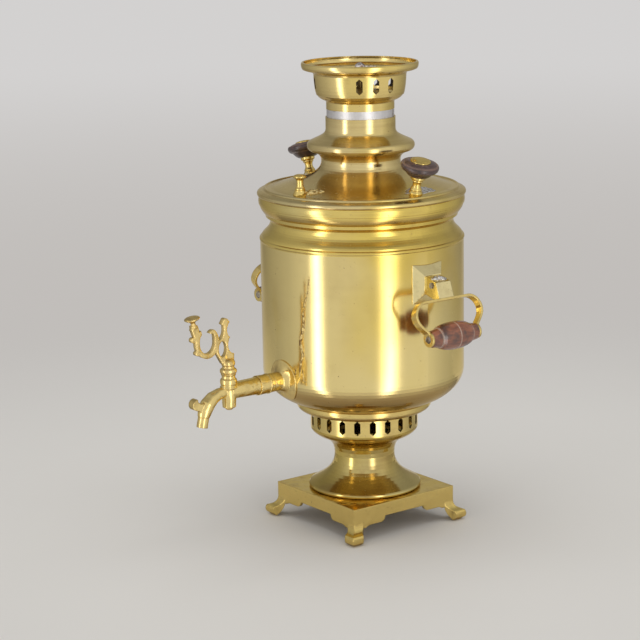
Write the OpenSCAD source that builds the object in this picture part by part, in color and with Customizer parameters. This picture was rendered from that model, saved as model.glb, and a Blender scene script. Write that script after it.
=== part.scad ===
// Charcoal samovar with a straight can-shaped tank.
// Origin: centre of the floor under the plinth. +Z up, the tap points to -Y,
// the two handles stand at +X and -X. All sizes are millimetres.

/* [Sheet metal] */
// Thickness of the spun brass sheet
sheet = 1.2; // [0.8:0.1:1.6]
// Gap between pieces that lift or turn past each other
slip = 0.3; // [0.2:0.05:0.5]

/* [Plinth] */
// Width of the square plinth
plinth_w = 130.8; // [124:1:140]
// Height of the plinth's deck above the floor
plinth_h = 36; // [33:0.5:42]
// Thickness of the deck and the aprons
plinth_wall = 3; // [2.5:0.1:4]
// Height of the apron in the middle of each side
apron_h = 13.7; // [11:0.1:15]
// Width of each face of a leg
leg_w = 11.7; // [10:0.1:14]
// Radius of a foot's round toe
pad_r = 9.6; // [8:0.1:11]
// Distance of the toe's centre past the plinth's side
foot_reach = 3.4; // [2:0.1:5]

/* [Pedestal] */
// Diameter of the pedestal's base bead
pedestal_d = 116.8; // [108:1:122]
// Diameter of the pedestal's neck
pedestal_neck_d = 62.4; // [58:1:70]
// Height of the pedestal
pedestal_h = 65.5; // [60:0.5:75]
// Diameter of the draught collar
collar_d = 111.6; // [106:1:118]
// Height of the draught collar
collar_h = 18.5; // [18:0.5:24]
// Number of draught slots
slot_count = 22; // [16:1:24]
// Width of a draught slot
slot_w = 6.4; // [5:0.1:8]
// Height of a draught slot, tip to tip
slot_h = 15.4; // [12:0.1:16]

/* [Tank] */
// Diameter of the dish under the tank
dish_d = 140; // [130:1:150]
// Height of the dish under the tank
dish_h = 11; // [9:0.5:13]
// Diameter of the tank
tank_d = 208; // [200:1:216]
// Height of the tank's rounded bottom
tank_round_h = 34; // [30:0.5:38]
// Height of the tank's straight wall
tank_wall_h = 133; // [125:1:150]

/* [Rim ring] */
// Height of the rim ring
rim_h = 46; // [42:0.5:50]
// Depth of the rim ring's waist inside the tank's wall
waist_depth = 10.6; // [7:0.2:14]
// Distance that the rim ring's top bead stands out past the tank's wall
rim_reach = 0.8; // [-1:0.1:3]

/* [Lid] */
// Distance that the lid's rolled lip stands out past the rim ring
lid_lip = 1.6; // [0.5:0.1:3]
// Height of the lid from its seat to its mouth
lid_h = 79; // [76:0.5:84]
// Diameter of the lid's narrow throat
throat_d = 80.4; // [79:1:88]
// Diameter of the lid's fat moulding
torus_d = 109.6; // [104:1:116]

/* [Fire tube] */
// Outer diameter of the chimney
chimney_d = 68.4; // [64:0.2:69]
// Length of bare chimney between the lid and the crown
chimney_bare = 8; // [4:0.5:12]
// Outer diameter of the firebox
firebox_d = 92; // [84:1:96]
// Height of the firebox's straight wall
firebox_h = 110; // [90:1:130]
// Number of slots in the grate
grate_slots = 7; // [5:2:7]
// Width of a slot in the grate
grate_slot_w = 5; // [4:0.1:6]

/* [Crown] */
// Height of the crown above its seat on the chimney
crown_h = 47; // [44:0.5:52]
// Diameter of the crown's bowl
crown_bowl_d = 93.8; // [88:0.5:98]
// Diameter of the crown's flared rim
crown_rim_d = 118.4; // [112:0.5:122]
// Length of the sleeve that enters the chimney
crown_sleeve = 22; // [15:1:30]
// Width of a slot in the crown
crown_slot_w = 6.5; // [5:0.1:8]
// Height of a slot in the crown
crown_slot_h = 16; // [12:0.1:17]
// Angle between neighbouring slots of a group
crown_slot_pitch = 21; // [16:0.5:26]
// Diameter of the ball on the chimney cap
ball_d = 11; // [9:0.5:13]

/* [Lid knobs] */
// Distance of a knob's foot in from the lid's lip
knob_in = 20.4; // [18:0.2:26]
// Lean of a knob away from the axis, in degrees
knob_lean = 14.5; // [12:0.5:17]
// Diameter of the wooden disc
knob_d = 38.4; // [34:0.2:42]
// Length of the knob's turned stem
knob_stem_h = 18; // [15:0.5:22]
// Thickness of the wooden disc
knob_wood_h = 15.5; // [13:0.5:18]
// Diameter of the knob's brass button
button_d = 20.4; // [17:0.2:23]
// Distance of the steam vent in from the lid's lip
vent_in = 21.8; // [19:0.2:26]
// Diameter of the steam vent's button
vent_d = 13; // [11:0.2:15]
// Height of the steam vent above the lid
vent_h = 19; // [16:0.5:24]

/* [Handles] */
// Height of the bracket's middle above the tank's rounded bottom
bracket_rise = 102; // [90:1:110]
// Width of the bracket plate on the tank
plate_w = 37; // [33:0.5:42]
// Height of the bracket plate on the tank
plate_h = 39; // [35:0.5:44]
// Stand-off of the bracket plate's flat from the tank
plate_t = 8; // [6:0.5:10]
// Width of the arm block
arm_w = 18.5; // [15:0.5:20]
// Reach of the arm block from the plate's flat
arm_l = 20.8; // [18:0.2:24]
// Lean of the bow away from the tank, in degrees
bow_lean = 20; // [14:1:24]
// Thickness of the bow's flat bar
bow_t = 2.4; // [2:0.1:3]
// Width of the bow's flat bar
bow_w = 8; // [6.5:0.5:10]
// Drop from the top of the bow to the grip's axis
bow_drop = 37.3; // [35:0.1:41]
// Length of the wooden grip
grip_l = 57.6; // [54:0.2:60]
// Diameter of the wooden grip at its middle
grip_d = 27.6; // [24:0.2:29]
// Diameter of the wooden grip at its ends
grip_end_d = 16.4; // [14:0.2:18]
// Diameter of the rod through the grip
rod_d = 5; // [4:0.1:6]

/* [Tap] */
// Height of the tap tube's axis above the tank's rounded bottom
tap_rise = 0; // [-4:0.5:12]
// Distance of the tap barrel's axis from the tank's wall
barrel_reach = 65.7; // [58:0.5:74]
// Diameter of the tap's rosette
flange_d = 42; // [36:0.5:44]
// Diameter of the tap tube at the ferrule
tube_d = 19; // [17:0.2:21]
// Diameter of the tap tube at the barrel
tube_tip_d = 16.4; // [14:0.2:17]
// Diameter of the ferrule
ferrule_d = 20; // [19:0.2:23]
// Diameter of the barrel
barrel_d = 15.4; // [15:0.2:18]
// Largest diameter of the tapered plug
plug_d = 11; // [9.6:0.1:11.4]
// Radial clearance of the plug in the barrel
plug_fit = 0.05; // [0.03:0.01:0.08]
// Diameter of the water way
water_d = 6.8; // [5.5:0.1:7.4]
// Outer diameter of the nozzle
nozzle_d = 11.2; // [10.4:0.1:13]
// Length of the nozzle
nozzle_l = 10.5; // [8:0.5:14]
// Lean of the nozzle, in degrees
nozzle_lean = 12; // [6:1:16]
// Thickness of the key's flat handle
key_t = 5; // [4:0.1:6]
// Diameter of the key's button
key_button_d = 15.8; // [14:0.1:19]

/* [Hidden] */

$fn = 72;
eps = 0.02;
left = -1;
right = 1;

brass = "#c9a94a";
pale_brass = "#cdbf6e";
golden_brass = "#d9aa4b";
tin = "#c9c8c6";
dark_wood = "#4a2a22";
red_wood = "#7a3320";
iron = "#4b4a48";

// The stack of heights, each carried by the one before
collar_z = plinth_h + pedestal_h;
dish_z = collar_z + collar_h;
tank_z = dish_z + dish_h;
wall_z = tank_z + tank_round_h;
rim_z = wall_z + tank_wall_h;
lid_z = rim_z + rim_h;
lid_top_z = lid_z + lid_h;
chimney_top_z = lid_top_z + chimney_bare;
crown_top_z = chimney_top_z + crown_h;

pedestal_r = pedestal_d / 2;
pedestal_neck_r = pedestal_neck_d / 2;
collar_r = collar_d / 2;
dish_r = dish_d / 2;
tank_r = tank_d / 2;
rim_waist_r = tank_r - waist_depth;
rim_top_r = tank_r + rim_reach;
lid_r = rim_top_r + lid_lip;
knob_at = lid_r - knob_in;
vent_at = lid_r - vent_in;
bracket_z = wall_z + bracket_rise;
tap_z = wall_z + tap_rise;
barrel_at = tank_r + barrel_reach;
throat_r = throat_d / 2;
torus_r = torus_d / 2;
chimney_r = chimney_d / 2;
chimney_bore_r = chimney_r - sheet;
firebox_r = firebox_d / 2;
lid_sheet = 1;

// ---- outlines -------------------------------------------------------------

// A list without its first point, to join runs that share it
function tail(p) = [for (i = [1:len(p) - 1]) p[i]];

// A cubic curve from a to d, drawn towards b and c
function bez(a, b, c, d, n = 8) = [for (i = [0:n])
    let (t = i / n, s = 1 - t)
    s * s * s * a + 3 * s * s * t * b + 3 * s * t * t * c + t * t * t * d];

// A round stretch about a centre
function arc(c, r, from, to, n = 6) = [for (i = [0:n])
    let (a = from + (to - from) * i / n)
    c + r * [cos(a), sin(a)]];

function unit(v) = v / norm(v);
function left_of(v) = [-v[1], v[0]];
function before(p, i) = left_of(unit(p[i] - p[max(i - 1, 0)]));
function after(p, i) = left_of(unit(p[min(i + 1, len(p) - 1)] - p[i]));

// The direction in which a point moves so that its two edges move by one unit
function mitre(p, i) = i == 0 ? after(p, 0)
    : i == len(p) - 1 ? before(p, i)
    : (before(p, i) + after(p, i)) / (1 + before(p, i) * after(p, i));

// The same path moved to its left
function beside(p, t) = [for (i = [0:len(p) - 1]) p[i] + t * mitre(p, i)];

// A band of thickness t on the left of a path
function band(p, t) = let (q = beside(p, t))
    concat(p, [for (i = [len(q) - 1:-1:0]) q[i]]);

module spun(path, t = sheet) {
    rotate_extrude() polygon(band(path, t));
}

// An upright slot with pointed ends, cut towards +X at radius r
module pointed_slot(r, w, h) {
    tip = w * 0.45;
    outline = [[-w / 2, -h / 2 + tip], [0, -h / 2], [w / 2, -h / 2 + tip],
        [w / 2, h / 2 - tip], [0, h / 2], [-w / 2, h / 2 - tip]];
    rotate([90, 0, 90]) linear_extrude(2 * r) polygon(outline);
}

module on_side(side) {
    if (side == right) children();
    else mirror([1, 0, 0]) children();
}

// ---- stand ----------------------------------------------------------------

// Half of the opening under one apron, mirrored about the middle
module apron_opening() {
    half = plinth_w / 2 - leg_w;
    arch_r = 9.2;
    ovolo_r = plinth_h - apron_h - arch_z;
    for (flip = [0, 1]) mirror([flip, 0]) difference() {
        union() {
            translate([-eps, -1]) square([half - arch_r + eps, arch_z + 1]);
            translate([-eps, -1]) square([half - arch_r - ovolo_at + eps, plinth_h - apron_h + 1]);
            translate([half - arch_r, arch_z - arch_r]) circle(arch_r);
            translate([half - arch_r - eps, -1]) square([arch_r + eps, arch_z - arch_r + 1]);
        }
        translate([half - arch_r - ovolo_at, plinth_h - apron_h]) circle(ovolo_r);
    }
}
arch_z = 16.5;
ovolo_at = 13.2;

// Side view of a foot, the same from both of its sides: distance from the plinth's middle, height
function foot_path() =
    let (half = plinth_w / 2, tip = half + foot_reach + 0.64 * pad_r)
    concat(
        [[half - leg_w, foot_top], [half - leg_w, 0]],
        [[tip - 4.2, 0], [tip - 0.4, 3.4]],
        tail(bez([tip - 0.4, 3.4], [tip + 0.6, 5.4], [tip + 0.6, 8.6], [tip - 0.8, 10.6], 4)),
        tail(bez([tip - 0.8, 10.6], [tip - 5.6, 11.2], [half + 0.3, 14.4], [half, foot_top], 7)));
foot_top = 20;

// Takes away the inner side of a leg, which sweeps outwards down to its toe
module ankle_sweep() {
    heel = sqrt(2) * (plinth_w / 2 - leg_w / 2);
    sole = sqrt(2) * (plinth_w / 2 + foot_reach) - 2.4;
    rotate(45) rotate([90, 0, 0]) linear_extrude(3 * leg_w, center = true)
        polygon(concat([[heel - 20, -1], [sole, -1]],
            bez([sole, 0], [sole - 5.4, 2.6], [heel + 0.6, 9], [heel - 0.1, arch_z - 2], 7),
            [[heel - 20, arch_z - 2]]));
}

// Toe that grows out of a leg's corner, hollow behind
module foot() {
    half = plinth_w / 2;
    toe = sqrt(2) * (half + foot_reach);
    heel = sqrt(2) * (half - leg_w / 2);
    across = leg_w / sqrt(2);
    difference() {
        intersection() {
            translate([0, plinth_w, 0]) rotate([90, 0, 0]) linear_extrude(plinth_w) polygon(foot_path());
            translate([plinth_w, 0, 0]) rotate([90, 0, -90]) linear_extrude(plinth_w)
                mirror([1, 0]) polygon(foot_path());
            rotate(45) union() {
                translate([toe, 0, 0]) cylinder(r = pad_r, h = foot_top);
                linear_extrude(foot_top) polygon([[heel - across, 0], [heel, -across], [heel + 4.6, -across + 0.7],
                    [toe - 2.6, -across + 0.2], [toe, -pad_r + 0.4], [toe, pad_r - 0.4],
                    [toe - 2.6, across - 0.2], [heel + 4.6, across - 0.7], [heel, across]]);
            }
        }
        translate([0, 0, ankle_z]) cube([half - plinth_wall, half - plinth_wall, plinth_h]);
    }
}

module plinth() {
    half = plinth_w / 2;
    draught_r = 40;
    color(pale_brass) difference() {
        union() {
            difference() {
                translate([-half, -half, ankle_z]) cube([plinth_w, plinth_w, plinth_h - ankle_z]);
                translate([-half + plinth_wall, -half + plinth_wall, -1])
                    cube([plinth_w - 2 * plinth_wall, plinth_w - 2 * plinth_wall, plinth_h - plinth_wall + 1]);
                for (turn = [0, 90]) rotate([90, 0, turn]) translate([0, 0, -half - 1])
                    linear_extrude(plinth_w + 2) apron_opening();
                cylinder(r = draught_r, h = plinth_h + 1);
            }
            for (turn = [0:90:270]) rotate(turn) foot();
        }
        for (turn = [0:90:270]) rotate(turn) ankle_sweep();
    }
}
ankle_z = 5;

// Outer outline of the pedestal, from its bead to the collar
function pedestal_path() =
    let (bead = 2.6, z0 = plinth_h, z1 = collar_z, zn = z0 + 0.55 * (z1 - z0),
        foot_top = [pedestal_r - bead / 2, z0 + bead * 1.866],
        rise = z1 - zn, wide = collar_r - pedestal_neck_r)
    concat(
        arc([pedestal_r - bead, z0 + bead], bead, -90, 60, 5),
        tail(bez(foot_top, [pedestal_neck_r + 0.33 * (pedestal_r - pedestal_neck_r), z0 + 14],
            [pedestal_neck_r, z0 + 21], [pedestal_neck_r, zn], 10)),
        tail(bez([pedestal_neck_r, zn], [pedestal_neck_r, zn + 0.34 * rise],
            [pedestal_neck_r + 0.2 * wide, zn + 0.53 * rise],
            [pedestal_neck_r + 0.52 * wide, zn + 0.645 * rise], 6)),
        tail(bez([pedestal_neck_r + 0.52 * wide, zn + 0.645 * rise],
            [pedestal_neck_r + 0.85 * wide, zn + 0.763 * rise], [collar_r, zn + 0.88 * rise],
            [collar_r, z1 - 0.8], 6)),
        [[collar_r, z1]]);

module pedestal() {
    color(brass) spun(pedestal_path());
}

module draught_collar() {
    color(pale_brass) difference() {
        spun([[collar_r, collar_z], [collar_r, dish_z]]);
        for (i = [0:slot_count - 1])
            rotate(i * 360 / slot_count + first_slot) translate([0, 0, collar_z + collar_h / 2])
                pointed_slot(collar_r, slot_w, slot_h);
    }
}
first_slot = -45.5;

function ash_dish_path() = concat(
    [[collar_r - sheet - 0.6, dish_z], [dish_r - 9, dish_z]],
    tail(bez([dish_r - 9, dish_z], [dish_r - 3.5, dish_z + 0.2], [dish_r, dish_z + 2.6],
        [dish_r, dish_z + 0.6 * dish_h], 7)),
    [[dish_r - 0.5, dish_z + 0.85 * dish_h], [dish_r - 1.6, tank_z]]);

module ash_dish() {
    color(brass) spun(ash_dish_path());
}

// ---- tank and fire tube ---------------------------------------------------

function tank_path() = concat(
    [[firebox_r + 0.1, tank_z], [dish_r - 1, tank_z]],
    tail(bez([dish_r - 1, tank_z], [dish_r + 17, tank_z + 3], [tank_r, wall_z - 17], [tank_r, wall_z], 14)),
    [[tank_r, rim_z]]);

module tank() {
    inlet_r = 5.5;
    inlet_up = 0.4;
    color(pale_brass) difference() {
        spun(tank_path());
        translate([0, 8 - tank_r, tap_z + inlet_up]) rotate([90, 0, 0]) cylinder(r = inlet_r, h = 20);
    }
}

// The rim ring's steps: bead, cove, waist, flare and top bead
function rim_path() =
    let (waist_r = rim_waist_r, top_r = rim_top_r, z = rim_z, h = rim_h, t = z + h)
    concat(
        [[tank_r, z]],
        arc([tank_r - 1.6, z + 2.4], 2.3, -40, 40, 4),
        [[tank_r - 1.2, z + 4.6]],
        tail(bez([tank_r - 1.2, z + 4.6], [tank_r - 1.2, z + 9], [waist_r, z + 12],
            [waist_r, z + 0.44 * h], 8)),
        tail(bez([waist_r, z + 0.44 * h], [waist_r, z + 0.5 * h], [waist_r + 1.6, z + 0.53 * h],
            [waist_r + 3.8, z + 0.545 * h], 4)),
        [[waist_r + 4.6, t - 20.6], [waist_r + 5.2, t - 17.4], [waist_r + 6.1, t - 17]],
        tail(bez([waist_r + 6.1, t - 17], [top_r - 2.6, t - 14], [top_r - 1.2, t - 11.4],
            [top_r - 0.8, t - 8.2], 5)),
        [[top_r, t - 7.8]],
        tail(bez([top_r, t - 7.8], [top_r + 0.6, t - 5], [top_r + 0.4, t - 2.2], [top_r - 0.7, t], 4)),
        [[rim_mouth_r, t]]);
rim_mouth_r = rim_top_r - 7.2;

module rim_ring() {
    color(brass) spun(rim_path());
}

function fire_tube_path() = concat(
    [[firebox_r - sheet - ledge_w, fire_z], [firebox_r, fire_z], [firebox_r, tank_z + firebox_h]],
    tail(bez([firebox_r, tank_z + firebox_h], [firebox_r, tank_z + firebox_h + 40],
        [chimney_r, tank_z + firebox_h + 60], [chimney_r, tank_z + firebox_h + 100], 8)),
    [[chimney_r, chimney_top_z]]);
ledge_w = 4.5;
fire_z = tank_z - 8;

module fire_tube() {
    color(tin) spun(fire_tube_path());
}

module grate() {
    grate_r = firebox_r - sheet - 0.4;
    grate_t = 3;
    pitch = 1.9 * grate_slot_w;
    color(iron) translate([0, 0, fire_z + sheet]) difference() {
        cylinder(r = grate_r, h = grate_t);
        for (i = [0:grate_slots - 1]) {
            off = (i - (grate_slots - 1) / 2) * pitch;
            long = 2 * sqrt(pow(grate_r - 5, 2) - off * off);
            translate([-long / 2, off - grate_slot_w / 2, -1]) cube([long, grate_slot_w, grate_t + 2]);
        }
    }
}

// ---- lid ------------------------------------------------------------------

// The sloping plate of the lid runs between these two points
plate_out = [lid_r - 14.4, lid_z + 8.5];
plate_in = [throat_r + 19.8, lid_z + 18.2];
plate_fall = (plate_in[1] - plate_out[1]) / (plate_out[0] - plate_in[0]);
function plate_z(r) = plate_out[1] + (plate_out[0] - r) * plate_fall;

// The lid's outline: rolled lip, bead, sloping plate, throat, fat moulding and neck
function lid_path() =
    let (lip = 2.6, neck_r = chimney_r + slip + lid_sheet, torus_z = lid_z + 50,
        torus_c = [torus_r - 5.3, torus_z])
    concat(
        [[rim_mouth_r + 1, lid_z]],
        arc([lid_r - lip, lid_z + lip], lip, -90, 60, 6),
        [[lid_r - 4.2, lid_z + 6.3], [lid_r - 6.4, lid_z + 6.9]],
        arc([lid_r - 8.4, lid_z + 7.1], 1.8, 20, 150, 5),
        [plate_out, plate_in],
        tail(bez(plate_in, plate_in + [-10, 10 * plate_fall], [throat_r, lid_z + 25],
            [throat_r, lid_z + 35], 10)),
        tail(bez([throat_r, lid_z + 35], [throat_r, lid_z + 40], [throat_r + 3.8, lid_z + 42.4],
            [torus_r - 5.3, torus_z - 5.4], 7)),
        tail(arc(torus_c, 5.3, -80, 55, 8)),
        [[torus_r - 8.2, torus_z + 7.1]],
        tail(bez([torus_r - 9.4, torus_z + 7.4], [torus_r - 14, torus_z + 10.4],
            [neck_r, torus_z + 11.4], [neck_r, torus_z + 17], 7)),
        [[neck_r, lid_top_z]]);

module lid() {
    skirt_r = rim_mouth_r - slip;
    skirt_h = 6;
    vent_hole_r = 3.2;
    color(brass) difference() {
        union() {
            spun(lid_path(), lid_sheet);
            spun([[skirt_r, lid_z - skirt_h], [skirt_r, lid_z + 5.8]], lid_sheet);
            // flat web that joins the skirt to the lip's underside
            rotate_extrude() polygon([[skirt_r - lid_sheet, lid_z], [rim_mouth_r + 2, lid_z],
                [rim_mouth_r + 2, lid_z + lid_sheet], [skirt_r - lid_sheet, lid_z + lid_sheet]]);
        }
        rotate(vent_turn) translate([0, -vent_at, lid_z]) cylinder(r = vent_hole_r, h = 30);
    }
}

// Puts a knob's children on the lid, leaning outwards
module on_lid(side) {
    on_side(side) translate([knob_at, 0, plate_z(knob_at)]) rotate([0, knob_lean, 0]) children();
}

module knob_stem(side) {
    path = concat([[0, -0.4], [7, -0.4]],
        tail(bez([7, -0.4], [7.4, 2.2], [5.6, 2.4], [5.4, 3.4], 4)),
        [[5.9, 4.2], [5.5, 5.1]],
        tail(bez([5.5, 5.1], [3.6, 7.4], [3.6, 10], [4.6, knob_stem_h - 5.4], 6)),
        [[5.6, knob_stem_h - 4.8], [5.3, knob_stem_h - 3.8], [7.2, knob_stem_h - 2.4],
        [7.4, knob_stem_h], [0, knob_stem_h]]);
    color(golden_brass) on_lid(side) difference() {
        rotate_extrude() polygon(path);
        // the foot is filed to the lid's slope
        rotate([0, atan(plate_fall) - knob_lean, 0]) translate([-20, -20, -10]) cube([40, 40, 10]);
    }
}

module knob_wood(side) {
    r = knob_d / 2;
    z0 = knob_stem_h;
    h = knob_wood_h;
    path = concat([[0, z0], [8.2, z0]],
        tail(bez([8.2, z0], [11.5, z0 + 1], [12.5, z0 + 3.2], [r - 4.4, z0 + 0.37 * h], 5)),
        tail(bez([r - 4.4, z0 + 0.37 * h], [r + 0.6, z0 + 0.44 * h], [r + 0.9, z0 + 0.8 * h],
            [r - 1.6, z0 + 0.87 * h], 8)),
        [[r - 2.6, z0 + 0.84 * h], [r - 3.4, z0 + 0.9 * h]],
        tail(bez([r - 3.4, z0 + 0.9 * h], [r - 6, z0 + 0.98 * h], [button_d / 2 + 2, z0 + h],
            [button_d / 2, z0 + h], 4)),
        [[0, z0 + h]]);
    color(dark_wood) on_lid(side) rotate_extrude() polygon(path);
}

module knob_button(side) {
    r = button_d / 2;
    z0 = knob_stem_h + knob_wood_h;
    path = [[0, z0], [r, z0], [r, z0 + 0.8], [r - 1, z0 + 1.4], [r - 2.2, z0 + 1.2],
        [r - 3.4, z0 + 1.9], [r - 6, z0 + 2.3], [0, z0 + 2.5]];
    color(golden_brass) on_lid(side) rotate_extrude() polygon(path);
}

vent_turn = 6;
module at_vent() {
    rotate(vent_turn) translate([0, -vent_at, plate_z(vent_at)]) children();
}

module vent_seat() {
    seat_bore_r = 2.4;
    seat_gap = 0.1;
    color(golden_brass) at_vent() difference() {
        union() {
            translate([0, 0, -4]) cylinder(r = 3.1, h = 6);
            intersection() {
                translate([0, 0, -2.6]) union() {
                    cylinder(r1 = 7.6, r2 = 5.2, h = 5.4);
                    translate([0, 0, 3.4]) cylinder(r = 5.4, h = 2.2);
                }
                rotate([atan(plate_fall), 0, 0]) translate([-10, -10, seat_gap]) cube([20, 20, 10]);
            }
        }
        translate([0, 0, -5]) cylinder(r = seat_bore_r, h = 20);
    }
}

module vent_cap() {
    r = vent_d / 2;
    foot_z = 3;
    path = concat([[0, -3], [2.1, -3], [2.1, foot_z], [5, foot_z], [5, foot_z + 1.6]],
        tail(bez([5, foot_z + 1.6], [3.2, foot_z + 3], [3.6, foot_z + 5], [3.4, vent_h - 8], 5)),
        tail(bez([3.4, vent_h - 8], [3.2, vent_h - 5], [r - 1.6, vent_h - 4.6], [r, vent_h - 3.4], 5)),
        tail(bez([r, vent_h - 3.4], [r + 0.4, vent_h - 2], [r - 1, vent_h - 1], [r - 2.6, vent_h - 0.6], 4)),
        [[0, vent_h]]);
    color(golden_brass) at_vent() rotate_extrude() polygon(path);
}

// ---- crown and chimney cap ------------------------------------------------

function crown_path() =
    let (neck_r = chimney_r + slip, bowl_r = crown_bowl_d / 2, rim_r = crown_rim_d / 2,
        z = chimney_top_z, t = crown_top_z)
    concat(
        [[neck_r, z], [neck_r, z + 7.2]],
        tail(bez([neck_r, z + 7.2], [neck_r + 0.4, z + 9.6], [bowl_r - 6.4, z + 9.2],
            [bowl_r - 3.6, z + 14], 7)),
        [[bowl_r - 2.6, z + 14.6]],
        tail(bez([bowl_r - 2.6, z + 14.6], [bowl_r - 1.2, z + 19], [bowl_r - 0.4, z + 26],
            [bowl_r, t - 12], 5)),
        tail(bez([bowl_r, t - 12], [bowl_r + 1, t - 7.6], [rim_r - 5, t - 9], [rim_r - 1.4, t - 7], 6)),
        tail(bez([rim_r - 1.4, t - 7], [rim_r, t - 5.4], [rim_r + 0.2, t - 3], [rim_r, t - 1.2], 4)),
        [[rim_r - 0.8, t], [rim_r - 2.6, t]]);
crown_sheet = 1;
crown_land = 8.6;

module crown() {
    sleeve_r = chimney_bore_r - slip;
    sleeve_t = 0.8;
    groups = 3;
    group_at = -18;
    color(brass) difference() {
        union() {
            spun(crown_path(), crown_sheet);
            // sleeve, seat and the flat land that carries the chimney cap
            rotate_extrude() polygon([[sleeve_r - sleeve_t, chimney_top_z - crown_sleeve],
                [sleeve_r, chimney_top_z - crown_sleeve], [sleeve_r, chimney_top_z],
                [chimney_r + slip - 0.2, chimney_top_z], [chimney_r + slip - 0.2, chimney_top_z + crown_land],
                [sleeve_r - sleeve_t, chimney_top_z + crown_land]]);
        }
        for (g = [0:groups - 1], s = [-1, 0, 1])
            rotate(group_at + g * 360 / groups + s * crown_slot_pitch)
                translate([crown_bowl_d / 2 - 9, 0, chimney_top_z + crown_h * 0.55])
                    pointed_slot(10, crown_slot_w, crown_slot_h);
    }
}

cap_z = chimney_top_z + crown_land;
cap_r = chimney_r - 0.4;
ball_z = crown_top_z - 6.5;

module chimney_cap() {
    spigot_r = chimney_bore_r - slip - 0.8 - 0.5;
    spigot_h = 5;
    dome_z = cap_z + 11;
    outer = concat([[cap_r, cap_z], [cap_r, cap_z + 1.6]],
        tail(bez([cap_r, cap_z + 1.6], [cap_r - 3, cap_z + 8], [18, dome_z], [4, dome_z + 0.6], 8)));
    color(golden_brass) {
        spun(outer, 1);
        spun([[spigot_r, cap_z - spigot_h], [spigot_r, cap_z + 1]], 1);
        rotate_extrude() polygon([[spigot_r - 1, cap_z], [cap_r, cap_z], [cap_r, cap_z + 1], [spigot_r - 1, cap_z + 1]]);
        translate([0, 0, dome_z - 1]) cylinder(r = 4.4, h = 2.6);
        translate([0, 0, dome_z]) cylinder(r1 = 3.2, r2 = 1.7, h = ball_z - dome_z - ball_d / 2 + 0.2);
    }
}

module cap_ball() {
    color(tin) difference() {
        translate([0, 0, ball_z]) sphere(d = ball_d);
        translate([0, 0, ball_z - ball_d]) cylinder(r = 4, h = ball_d / 2 + 0.2);
    }
}

// A bent wire from the ball down to the dome's shoulder
module cap_wire() {
    wire_r = 1.1;
    bend_r = 9;
    reach = 22;
    top_z = ball_z + 1;
    start = sqrt(pow(ball_d / 2, 2) - 1) - 0.2;
    color(tin) rotate(54) {
        difference() {
            translate([start - 0.6, 0, top_z]) rotate([0, 90, 0]) cylinder(r = wire_r, h = reach - bend_r - start + 0.6);
            translate([0, 0, ball_z]) sphere(d = ball_d);
        }
        translate([reach - bend_r, 0, top_z - bend_r]) rotate([90, 0, 0])
            rotate_extrude(angle = 90) translate([bend_r, 0]) circle(wire_r, $fn = 24);
        translate([reach, 0, cap_z + 9.6]) cylinder(r = wire_r, h = top_z - bend_r - cap_z - 9.6);
    }
}

// ---- handles --------------------------------------------------------------

flat_x = tank_r + plate_t;
arm_x = flat_x + arm_l;
arm_top_z = bracket_z + 8.5;
arm_low_z = bracket_z - 10.1;
// Top middle of the bow, under the arm block
bow_x = arm_x - 0.5 * bow_w * cos(bow_lean);
bow_z = arm_low_z - 0.5 * bow_w * sin(bow_lean);

module bracket_plate(side) {
    back_x = tank_r - 6;
    edge = 0.8;
    w = plate_w / 2;
    h = plate_h / 2;
    w_in = arm_w / 2 + 1.5;
    h_in = h - 10;
    color(pale_brass) on_side(side) difference() {
        intersection() {
            translate([0, 0, bracket_z - h]) linear_extrude(plate_h)
                polygon([[back_x, -w], [tank_r - 1.6 + edge, -w], [flat_x, -w_in], [flat_x, w_in],
                    [tank_r - 1.6 + edge, w], [back_x, w]]);
            translate([0, w, bracket_z]) rotate([90, 0, 0]) linear_extrude(plate_w)
                polygon([[back_x, -h], [tank_r - 1.6 + edge, -h], [flat_x, -h_in], [flat_x, h_in],
                    [tank_r - 1.6 + edge, h], [back_x, h]]);
        }
        translate([0, 0, bracket_z - plate_h]) cylinder(r = tank_r + 0.05, h = 2 * plate_h, $fn = 360);
    }
}

// Side view of the arm block: its front leans out and its foot follows the bow
module bracket_arm(side) {
    color(golden_brass) on_side(side) difference() {
        translate([0, arm_w / 2, 0]) rotate([90, 0, 0]) linear_extrude(arm_w)
            polygon([[flat_x, arm_low_z + 1], [flat_x, arm_top_z], [arm_x - 5.3, arm_top_z - 4],
                [arm_x, arm_low_z], [arm_x - bow_w * cos(bow_lean), arm_low_z - bow_w * sin(bow_lean)]]);
        at_rivet() cylinder(r = rivet_r, h = arm_w + 2, center = true);
    }
}

rivet_r = 2.1;
rivet_head_r = 3;
module at_rivet() {
    translate([flat_x + 9, 0, bracket_z + 1]) rotate([90, 0, 0]) children();
}

module bracket_rivet(side) {
    color(iron) on_side(side) at_rivet() {
        cylinder(r = rivet_r, h = arm_w, center = true);
        for (s = [-1, 1]) translate([0, 0, s * (arm_w / 2 + 0.4)])
            cylinder(r = rivet_head_r, h = 0.8, center = true);
    }
}

// Middle line of half of the bow, seen square to its plane: across, down
function bow_path() =
    let (end = grip_l / 2 + bow_t * 0.5, turn_r = 14.3, wide = end + 11.3)
    concat(
        [[0, -bow_t / 2]],
        arc([wide - turn_r, -bow_t / 2 - turn_r], turn_r, 90, 0, 8),
        tail(bez([wide, -bow_t / 2 - turn_r], [wide, -bow_t / 2 - turn_r - 8],
            [end + 1, 8 - bow_drop], [end, 4 - bow_drop], 6)));

// Places children in the bow's plane: x across, y up the bow, z outwards
module in_bow(side) {
    on_side(side) translate([bow_x, 0, bow_z]) rotate([0, 90 - bow_lean, 0]) rotate(90)
        children();
}

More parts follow.
